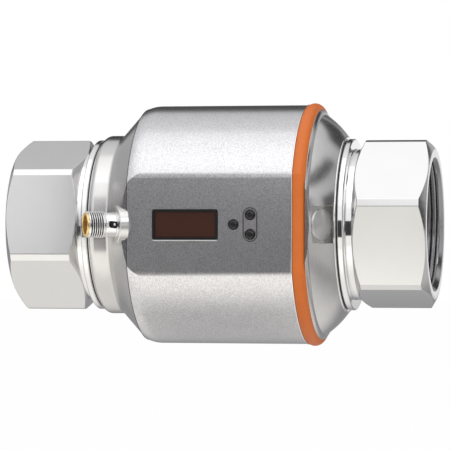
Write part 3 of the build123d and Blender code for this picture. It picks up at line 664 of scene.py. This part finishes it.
def adapter(name, side, turn, node):
    """One adapter; side is 1 at the outlet and -1 at the inlet."""
    angles = [radians(turn + 60.0 * k + v) for k in range(6) for v in across]

    def place(s, r, a):
        return at(side * s, -r * cos(a), r * sin(a))

    def station(row):
        return [row(hexagon_radius(a, turn)) for a in angles]

    collar = [
        (ADAPTER_START, TUBE_BORE), (ADAPTER_START, 38.75), (57.65, 39.15), (58.0, 39.4), (59.8, 39.4),
        (60.15, 39.15), (60.4, 38.75), (60.4, 34.9), (60.7, 34.6), (63.2, 34.6), (63.42, 34.65),
    ]
    outside = lathe_rows(collar, angles)
    outside += [
        station(lambda h: (HEX_INNER + (h - FACE) * CONE - SOFT * 0.5, h - SOFT * 0.87)),
        station(lambda h: (HEX_INNER + (h - FACE) * CONE + SOFT, h)),
        station(lambda h: (HALF_LENGTH - (h - FACE) * CONE - SOFT, h)),
        station(lambda h: (HALF_LENGTH - (h - FACE) * CONE + SOFT * 0.5, h - SOFT * 0.87)),
        flat_row(HALF_LENGTH - SOFT * 0.5, FACE + SOFT * 0.87, angles),
        flat_row(HALF_LENGTH, FACE - SOFT, angles),
        flat_row(HALF_LENGTH, MOUTH + SOFT, angles),
        flat_row(HALF_LENGTH - SOFT, MOUTH - SOFT, angles),
    ]
    lip = HALF_LENGTH - SOFT
    thread = thread_rows(THREAD_END, lip, THREAD_RADIUS, THREAD_DEPTH, THREAD_PITCH, -side, angles, run_out=0.0)
    thread = [[(s, max(r, THREAD_RADIUS + s - THREAD_START)) for s, r in row] for row in thread]
    bore = [(THREAD_END, THREAD_RADIUS), (THREAD_END, BORE), (TUBE_STOP, BORE)]
    bore += [(TUBE_STOP, TUBE_BORE), (ADAPTER_START, TUBE_BORE)]
    pieces = [(outside, 0), (thread, -THREAD_CUTS * side), (lathe_rows(bore, angles), 0)]
    made = skin(name, pieces, angles, place, finishes["turned_stainless"])
    made.data.materials.append(finishes["polished_stainless"])
    made.data.materials.append(finishes["thread_stainless"])
    for face in made.data.polygons:
        station_mm = abs(face.center.x - MIDDLE_X) / MM
        radius_mm = hypot(face.center.y, face.center.z) / MM
        if station_mm < HEX_INNER:
            face.material_index = 1
        # The thread and bore get the darker steel as painted shade
        elif radius_mm < MOUTH - 0.1:
            face.material_index = 2
    ride_on(made, "meter_body", node)


adapter("inlet_adapter", -1, 7.6, "left_adapter")
adapter("outlet_adapter", 1, -15.5, "right_adapter")

# %% [markdown]
# The right cap ends in a small bright bead next to the adapter, and only a fine black line of the gasket
# shows between the two. A small ring profile swung round the pipe is all it takes. Its wall towards the cap
# also closes the notch that the facet of the blind port leaves in the cap's end.

# %% Cap bead
BEAD_WALL = 56.0
bead_angles = round_angles(180)
bead_profile = [
    (BEAD_WALL, 33.0), (BEAD_WALL, 40.3), (56.15, 40.5), (56.5, 40.55), (56.8, 40.45), (57.0, 40.2),
    (57.05, 39.9), (57.05, 38.75), (56.6, 38.75), (56.6, 33.0), (BEAD_WALL, 33.0),
]
bead = skin(
    "cap_bead", [(lathe_rows(bead_profile, bead_angles), 0)], bead_angles,
    lambda s, r, a: at(s, -r * cos(a), r * sin(a)), finishes["polished_stainless"],
)
bead.data.materials.append(finishes["faced_wall"])
for face in bead.data.polygons:
    if (face.center.x - MIDDLE_X) / MM < BEAD_WALL + 0.03:
        face.material_index = 1
ride_on(bead, "meter_body")

# %% [markdown]
# At the left end the gasket lies inside the cap's wider neck. A much smaller bead fills part of the gap there,
# so that the dark line next to the adapter stays thin.

# %% Neck bead
neck_profile = [
    (56.1, 38.75), (56.1, 38.85), (56.3, 39.0), (56.75, 39.0), (56.95, 38.9), (57.0, 38.75), (56.1, 38.75),
]
neck_bead = skin(
    "neck_bead", [(lathe_rows(neck_profile, bead_angles), 0)], bead_angles,
    lambda s, r, a: at(-s, -r * cos(a), r * sin(a)), finishes["cap_stainless"],
)
ride_on(neck_bead, "meter_body")

# %% [markdown]
# ## Plug socket
#
# The socket is a threaded steel sleeve screwed into the boss, with a plain barrel near the boss and a gold
# contact carrier that shows at its mouth. Everything on it is drawn round the socket's own axis, which leans
# away from the pipe, so two small functions place a point in that slanted frame.

# %% Socket frame
PORT_ANGLE = radians(28.0)
SOCKET_FACE = Vector((-42.3, -46.9, 0.0))
SOCKET_OUT = Vector((-cos(PORT_ANGLE), -sin(PORT_ANGLE), 0.0))
SOCKET_SIDE = Vector((sin(PORT_ANGLE), -cos(PORT_ANGLE), 0.0))
UP = Vector((0.0, 0.0, 1.0))


def socket_place(s, r, a):
    """A point s outside the boss and r from the socket's axis; angle 0 looks at the camera's side."""
    return at(*(SOCKET_FACE + SOCKET_OUT * s + (SOCKET_SIDE * cos(a) + UP * sin(a)) * r))


def cut(piece, tool):
    """Take the tool's shape out of the piece for good."""
    carve = piece.modifiers.new("cut", "BOOLEAN")
    carve.operation = "DIFFERENCE"
    carve.solver = "EXACT"
    carve.object = tool
    bpy.context.view_layer.update()
    shape = piece.evaluated_get(bpy.context.evaluated_depsgraph_get())
    data = bpy.data.meshes.new_from_object(shape)
    piece.modifiers.clear()
    piece.data = data
    bpy.data.objects.remove(tool)


socket_angles = round_angles(72)
KEY_STATION = 1.7
KEY_RADIUS = 1.5


def key_place(s, r, a):
    """A point on the key pin's own axis, s from the socket's axis."""
    around = UP * (cos(a) * r) + SOCKET_OUT * (sin(a) * r)
    return at(*(SOCKET_FACE + SOCKET_OUT * KEY_STATION + SOCKET_SIDE * s + around))


def socket_measure(point):
    """How far a point lies along the socket's axis and away from it, in millimetres."""
    offset = (point - at(*SOCKET_FACE)) / MM
    station = offset.dot(SOCKET_OUT)
    return station, (offset - SOCKET_OUT * station).length


print("socket leans by", round(degrees(PORT_ANGLE)), "degrees")

# %% [markdown]
# The 12-millimetre thread has a pitch of one millimetre. Its rows come from the same helper as the pipe
# thread. A turned sleeve has a relief at both ends of its thread, so the crests ease in and out there. The
# hole for the key pin is cut with a plain cylinder, and the thread's roots get painted shade in a dark finish.

# %% Threaded shell
SHELL_END = 13.25
SHELL_RELIEF = 5.42
SHELL_RADIUS = 6.0
SHELL_DEPTH = 0.65
shell_profile = [
    (-2.2, 3.6), (-2.2, 4.9), (-1.1, 4.9), (-1.1, 6.2), (0.0, 6.2), (0.0, 5.7), (0.15, 5.55), (4.9, 5.55),
    (5.05, 5.42), (5.3, 5.42), (SHELL_RELIEF, 5.5),
]
shell_start = lathe_rows(shell_profile, socket_angles)
shell_thread = thread_rows(SHELL_RELIEF, SHELL_END - 0.1, SHELL_RADIUS, -SHELL_DEPTH, 1.0, 1, socket_angles)
for row in shell_thread:
    for j, (s, r) in enumerate(row):
        ease = min(1.0, (s - SHELL_RELIEF) / 0.35, (SHELL_END - 0.1 - s) / 0.3)
        row[j] = (s, r - 0.5 * (1.0 - ease))
shell_bore = [(SHELL_END - 0.1, 5.5), (SHELL_END, 5.4), (SHELL_END, 5.02), (0.0, 5.02), (0.0, 3.6), (-2.2, 3.6)]
shell = skin(
    "socket_shell",
    [(shell_start, 0), (shell_thread, THREAD_CUTS), (lathe_rows(shell_bore, socket_angles), 0)],
    socket_angles,
    socket_place,
    finishes["polished_stainless"],
)
key_angles = round_angles(40)
hole_profile = [(4.0, 0.001), (4.0, KEY_RADIUS), (6.5, KEY_RADIUS), (6.5, 0.001)]
hole = skin("hole", [(lathe_rows(hole_profile, key_angles), 0)], key_angles, key_place, finishes["polished_stainless"])
cut(shell, hole)
# The roots of the thread take the dark finish as painted shade
shell.data.materials.append(finishes["weld_dark"])
for face in shell.data.polygons:
    station, away = socket_measure(face.center)
    if SHELL_RELIEF < station < SHELL_END - 0.2 and 5.2 < away < 5.62:
        face.material_index = 1
ride_on(shell, "meter_body", "connector_shell")

# %% [markdown]
# The contact carrier is a gold-coloured cup with a rounded lip. Its walls are a darker, duller gold than the
# lip, as painted shade, and at the bottom lies the dark insulator through which the contact pins come.

# %% Gold contact carrier
carrier_profile = [
    (0.0, 0.002), (0.0, 4.95), (13.3, 4.95), (13.3, 5.6), (13.75, 5.6), (14.0, 5.5), (14.15, 5.3), (14.2, 5.1),
    (14.2, 4.75), (14.1, 4.5), (13.85, 4.3), (9.6, 4.3), (9.45, 4.1), (6.7, 4.1), (6.7, 3.6), (6.9, 3.4), (6.9, 0.002),
]
carrier = skin(
    "contact_carrier",
    [(lathe_rows(carrier_profile, socket_angles), 0)],
    socket_angles,
    socket_place,
    finishes["gold_metal"],
)
carrier.data.materials.append(finishes["insulator_dark"])
# The inner wall's darker gold is painted shade
carrier.data.materials.append(finishes["gold_wall"])
for face in carrier.data.polygons:
    station, away = socket_measure(face.center)
    if 6.0 < station < 9.5 and away < 4.15:
        face.material_index = 1
    elif 9.5 <= station < 13.8 and away < 4.4:
        face.material_index = 2
ride_on(carrier, "meter_body", "connector_insert")

# %% [markdown]
# A round key sits in the barrel: a black moulded disc with a small steel pin in its middle.

# %% Key pin
disc_profile = [(4.05, 0.001), (4.05, 1.45), (5.65, 1.45), (5.74, 1.38), (5.76, 1.25), (5.7, 0.8), (5.7, 0.001)]
pin_disc = skin(
    "socket_key_disc", [(lathe_rows(disc_profile, key_angles), 0)], key_angles, key_place,
    finishes["black_plastic"],
)
dot_profile = [(4.1, 0.001), (4.1, 0.62), (5.8, 0.62), (5.9, 0.55), (5.95, 0.35), (5.95, 0.001)]
pin_dot = skin(
    "socket_key_dot", [(lathe_rows(dot_profile, key_angles), 0)], key_angles, key_place,
    finishes["polished_stainless"],
)
ride_on(pin_disc, "meter_body", "connector_key_pin")
ride_on(pin_dot, "meter_body")

# %% [markdown]
# ## Plug of the blind port
#
# The plug's face was turned on a lathe, which leaves fine circles and, on them, the two bright fans that a
# record shows in the light. The piece has its own centre, so that the circles can run round it.

# %% Cap plug
PLUG_EDGE = 0.5
PLUG_CROWN = 0.62
PLUG_FACE_RADIUS = 6.95
FACET_START = Vector((48.0, -49.085, 0.0))
plug_out = Vector((cos(PORT_ANGLE), -sin(PORT_ANGLE), 0.0))
facet_along = Vector((sin(PORT_ANGLE), cos(PORT_ANGLE), 0.0))
PLUG_STATION = 6.9
plug_centre = at(*(FACET_START + facet_along * PLUG_STATION))
plug_matrix = Matrix((facet_along, UP, plug_out)).transposed().to_4x4()
plug_matrix.translation = plug_centre


def local_place(s, r, a):
    """A point on a piece's own axis."""
    return Vector((r * cos(a) * MM, r * sin(a) * MM, s * MM))


plug_profile = [(-3.2, 0.001), (-3.2, 4.0), (0.0, 4.0), (0.0, 7.1), (0.38, 7.1), (PLUG_EDGE, PLUG_FACE_RADIUS)]
for radius in (6.6, 6.0, 5.0, 4.0, 3.0, 2.0, 1.0, 0.001):
    plug_profile.append((PLUG_EDGE + PLUG_CROWN * (1 - (radius / PLUG_FACE_RADIUS) ** 2), radius))
plug_angles = round_angles(96)
plug = skin(
    "blind_port_plug", [(lathe_rows(plug_profile, plug_angles), 0)], plug_angles, local_place,
    finishes["record_stainless"],
)
plug.matrix_world = plug_matrix
ride_on(plug, "meter_body", "cap_plug")

# %% [markdown]
# ## Keys
#
# Each key is a small black rubber dome. A groove round its edge catches a fine light line, and a dimple in
# the middle shows a finger where to press. The keys press in by half a millimetre, so each rides on its own
# moving body.

# %% Keys
KEY_TOP = 0.9
KEY_EDGE = 2.25
key_profile = [(-5.8, 0.001), (-5.8, 1.4), (-3.2, 1.4), (-3.2, 3.2), (-2.2, 3.2), (-2.2, KEY_EDGE), (0.2, KEY_EDGE)]
key_profile += [(0.33, 2.2), (0.38, 2.1), (0.36, 2.0), (0.36, 1.9), (0.46, 1.75), (0.6, 1.5), (0.74, 1.2), (0.83, 0.9)]
key_profile += [(0.865, 0.65), (0.84, 0.5), (0.78, 0.35), (0.75, 0.2), (0.74, 0.001)]
key_places = {"single_key": (12.6, 0.0), "upper_key": (20.2, 4.4), "lower_key": (20.2, -4.4)}
for key_name, (key_x, key_z) in key_places.items():
    low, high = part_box(key_name)
    reach_back = (low.y - high.y) / MM + KEY_TOP
    profile = [(max(s, reach_back), r) for s, r in key_profile]
    key_matrix = Matrix(((1, 0, 0), (0, 0, 1), (0, -1, 0))).transposed().to_4x4()
    key_matrix.translation = at(key_x, -FLAT, key_z)
    dome = skin(
        key_name + "_dome", [(lathe_rows(profile, key_angles), 0)], key_angles, local_place,
        finishes["key_plastic"], 60.0,
    )
    dome.matrix_world = key_matrix
    ride_on(dome, key_name + "_body", key_name)

# %% [markdown]
# One bright line runs along the lower edge of the window. It is built as a small polished bevel: a long
# wedge that stands a little proud of the flat and catches the light from above.

# %% Window sill
SILL_ENDS = (-24.2, 5.4)
SILL_TOP = -6.86
SILL_HEIGHT = 0.45
SILL_FRONT = -50.75
SILL_BACK = -50.25
corners = []
for x in SILL_ENDS:
    corners += [at(x, SILL_FRONT, SILL_TOP), at(x, SILL_BACK, SILL_TOP), at(x, SILL_BACK, SILL_TOP - SILL_HEIGHT)]
sill_mesh = bpy.data.meshes.new("window_sill")
sill_mesh.from_pydata(corners, [], [(0, 1, 2), (5, 4, 3), (0, 2, 5, 3), (0, 3, 4, 1), (1, 4, 5, 2)])
sill_mesh.materials.append(finishes["polished_stainless"])
sill = bpy.data.objects.new("window_sill", sill_mesh)
bpy.context.scene.collection.objects.link(sill)
ride_on(sill, "meter_body")
print("sill length in mm", round(SILL_ENDS[1] - SILL_ENDS[0], 1))

# %% [markdown]
# ## Weld seam
#
# The left cap is welded to the drum. What shows of the weld is a hair-thin dark line, which follows the round
# and the flat of the housing. It is a thin tube on the same outline.

# %% Weld seam
SEAM_X = -36.2
SEAM_RADIUS = 53.6
SEAM_THICKNESS = 0.16
FLAT_BLEND = 6.0


def d_outline(radius, flat, blend, count=180):
    """Points of a circle with a flat at the front and rounded corners between."""
    inner = radius - blend
    corner_y = flat - blend
    corner_z = (inner**2 - corner_y**2) ** 0.5
    sweep = atan2(corner_z, corner_y)
    points = []
    for j in range(count):
        angle = sweep + (2 * pi - 2 * sweep) * j / (count - 1)
        points.append((-radius * cos(angle), radius * sin(angle)))
    for side, start, end in ((-1, sweep, 0.0), (1, 0.0, sweep)):
        for j in range(1, 12):
            angle = start + (end - start) * j / 12
            points.append((-(corner_y + blend * cos(angle)), side * (corner_z + blend * sin(angle))))
    return points


def tube_along(name, points, radius, material, sides=8):
    """A closed round tube through the points."""
    mesh = bmesh.new()
    count = len(points)
    rings = []
    for i in range(count):
        ahead = (points[(i + 1) % count] - points[i - 1]).normalized()
        first = ahead.cross(Vector((1, 0, 0))).normalized()
        second = ahead.cross(first)
        turn = [first * cos(2 * pi * k / sides) + second * sin(2 * pi * k / sides) for k in range(sides)]
        rings.append([mesh.verts.new(points[i] + v * radius) for v in turn])
    for i in range(count):
        for k in range(sides):
            n = (k + 1) % sides
            mesh.faces.new((rings[i - 1][k], rings[i][k], rings[i][n], rings[i - 1][n]))
    bmesh.ops.recalc_face_normals(mesh, faces=mesh.faces)
    data = bpy.data.meshes.new(name)
    mesh.to_mesh(data)
    mesh.free()
    data.materials.append(material)
    for face in data.polygons:
        face.use_smooth = True
    made = bpy.data.objects.new(name, data)
    bpy.context.scene.collection.objects.link(made)
    print(name, "faces", len(data.polygons))
    return made


seam_points = [at(SEAM_X, y, z) for y, z in d_outline(SEAM_RADIUS, FLAT, FLAT_BLEND)]
seam = tube_along("weld_seam", seam_points, SEAM_THICKNESS * MM, finishes["weld_dark"])
ride_on(seam, "meter_body")

# %% [markdown]
# The drum's other end is turned to a fine bright rim, which stands a little proud next to the seal ring.

# %% Drum rim
RIM_X = 38.95
RIM_RADIUS = 54.95
RIM_THICKNESS = 0.35
RIM_SINK = 0.1
rim_points = [at(RIM_X, y, z) for y, z in d_outline(RIM_RADIUS, FLAT - RIM_SINK, FLAT_BLEND)]
rim = tube_along("drum_rim", rim_points, RIM_THICKNESS * MM, finishes["polished_stainless"])
ride_on(rim, "meter_body")
